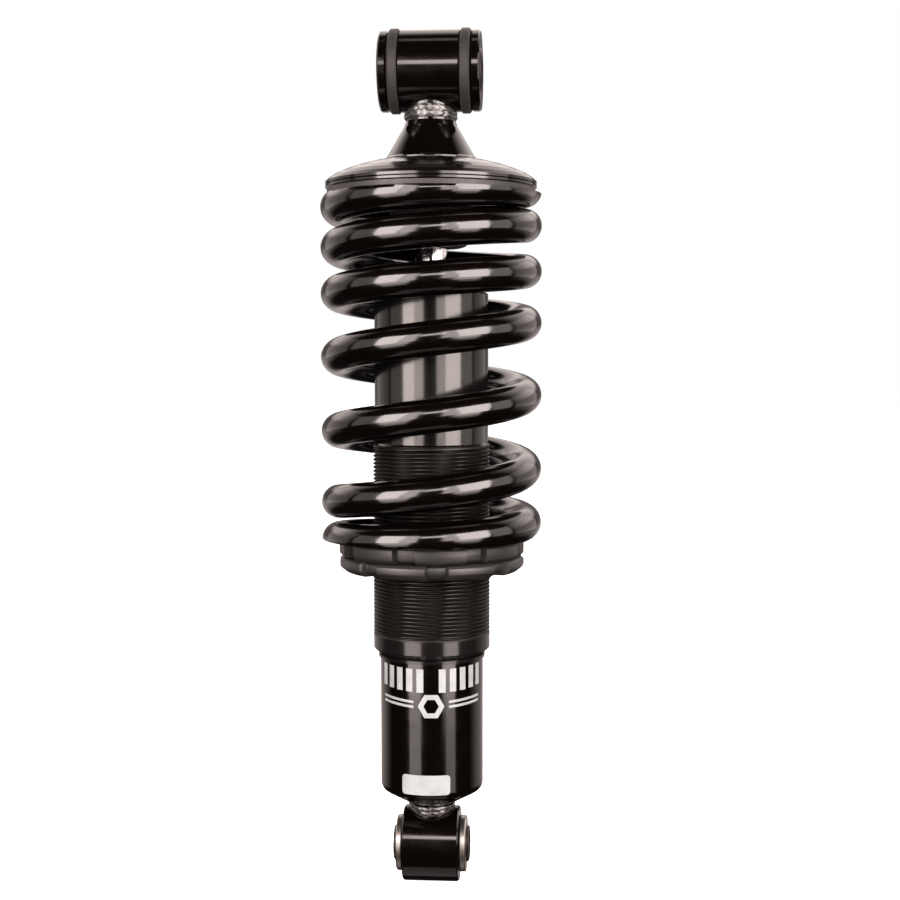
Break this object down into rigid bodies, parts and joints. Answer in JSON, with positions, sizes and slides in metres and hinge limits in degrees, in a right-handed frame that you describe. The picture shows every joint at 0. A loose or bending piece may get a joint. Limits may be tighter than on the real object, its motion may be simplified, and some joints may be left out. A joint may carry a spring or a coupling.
{
  "type": "coil-over rear shock absorber",
  "caption": "Black coil-over rear shock with a progressive coil spring, threaded preload rings, bushed eyes at both ends and a working damper shaft.",
  "frame": {"origin": "centre of the lower eye's bolt bore", "axes": "+Z from the lower eye to the upper eye, along the shaft; +X along both bolts, which are parallel"},
  "size_m": [0.0864, 0.0864, 0.3358],
  "materials": {
    "gloss_black": "gloss black paint",
    "spring_black": "gloss black powder coat",
    "black_alloy": "polished black anodised",
    "black_alloy_gloss": "gloss black anodised",
    "anodised_grey": "satin black anodised",
    "satin_alloy": "satin machined",
    "steel": "machined",
    "dark_steel": "dark phosphate",
    "zinc_steel": "satin zinc plate",
    "weld_steel": "lacquered weld",
    "chrome": "hard chrome",
    "bronze": "sintered bronze",
    "rubber": "matte black",
    "foam_rubber": "matte microcellular foam",
    "slide_plastic": "filled slide band",
    "black_plastic": "matte black",
    "label": "blank white label"
  },
  "bodies": {
    "damper": {"damper_body": "gloss_black", "lower_eye": "gloss_black", "lower_weld": "weld_steel", "lower_bushing": "rubber", "threaded_sleeve": "black_alloy", "sleeve_stop_ring": "black_alloy", "seal_head": "satin_alloy", "shaft_bushing": "bronze", "shaft_seal": "rubber", "dust_wiper": "rubber", "seal_head_o_ring": "rubber", "seal_head_circlip": "steel", "end_cap": "black_alloy", "body_label": "label", "coil_spring": "spring_black"},
    "shaft_assembly": {"damper_shaft": "chrome", "top_out_plate": "steel", "top_out_bumper": "rubber", "compression_shims": "steel", "piston": "satin_alloy", "piston_band": "slide_plastic", "rebound_shims": "steel", "piston_nut": "steel", "jam_nut": "steel", "bump_stop_cup": "black_plastic", "bump_stop": "foam_rubber", "upper_stem": "gloss_black", "upper_spring_retainer": "black_alloy_gloss", "spring_isolator": "black_plastic", "upper_weld": "weld_steel", "upper_eye": "gloss_black", "upper_bushing_left": "rubber", "upper_bushing_right": "rubber"},
    "floating_piston": {"floating_piston": "satin_alloy", "floating_piston_o_ring": "rubber"},
    "preload_collar": {"preload_collar": "anodised_grey"},
    "lock_ring": {"lock_ring": "anodised_grey"},
    "upper_pivot": {"upper_sleeve": "dark_steel", "upper_spacer_left": "gloss_black", "upper_spacer_right": "gloss_black"},
    "lower_pivot": {"lower_sleeve": "dark_steel", "lower_washer_left": "zinc_steel", "lower_washer_right": "zinc_steel"}
  },
  "joints": [
    {"name": "shaft_travel", "type": "slide", "parent": "damper", "child": "shaft_assembly", "axis": [0, 0, -1], "range_m": [0, 0.038], "stiffness_N_per_m": 132000, "springref_m": -0.004, "deforming": ["coil_spring", "bump_stop"]},
    {"name": "floating_piston_travel", "type": "slide", "parent": "damper", "child": "floating_piston", "axis": [0, 0, -1], "range_m": [0, 0.0046]},
    {"name": "collar_travel", "type": "slide", "parent": "damper", "child": "preload_collar", "axis": [0, 0, -1], "range_m": [0, 0.024]},
    {"name": "lock_ring_travel", "type": "slide", "parent": "damper", "child": "lock_ring", "axis": [0, 0, -1], "range_m": [0, 0.024]},
    {"name": "upper_eye_turn", "type": "hinge", "parent": "shaft_assembly", "child": "upper_pivot", "pos_m": [0, 0, 0.3048], "axis": [1, 0, 0], "range_deg": [-15, 15], "stiffness_Nm_per_rad": 20},
    {"name": "lower_eye_turn", "type": "hinge", "parent": "damper", "child": "lower_pivot", "pos_m": [0, 0, 0], "axis": [1, 0, 0], "range_deg": [-15, 15], "stiffness_Nm_per_rad": 20}
  ],
  "couplings": [
    {"joint": "floating_piston_travel", "follows": "shaft_travel", "ratio": 0.12056},
    {"joint": "lock_ring_travel", "follows": "collar_travel", "ratio": 1}
  ]
}
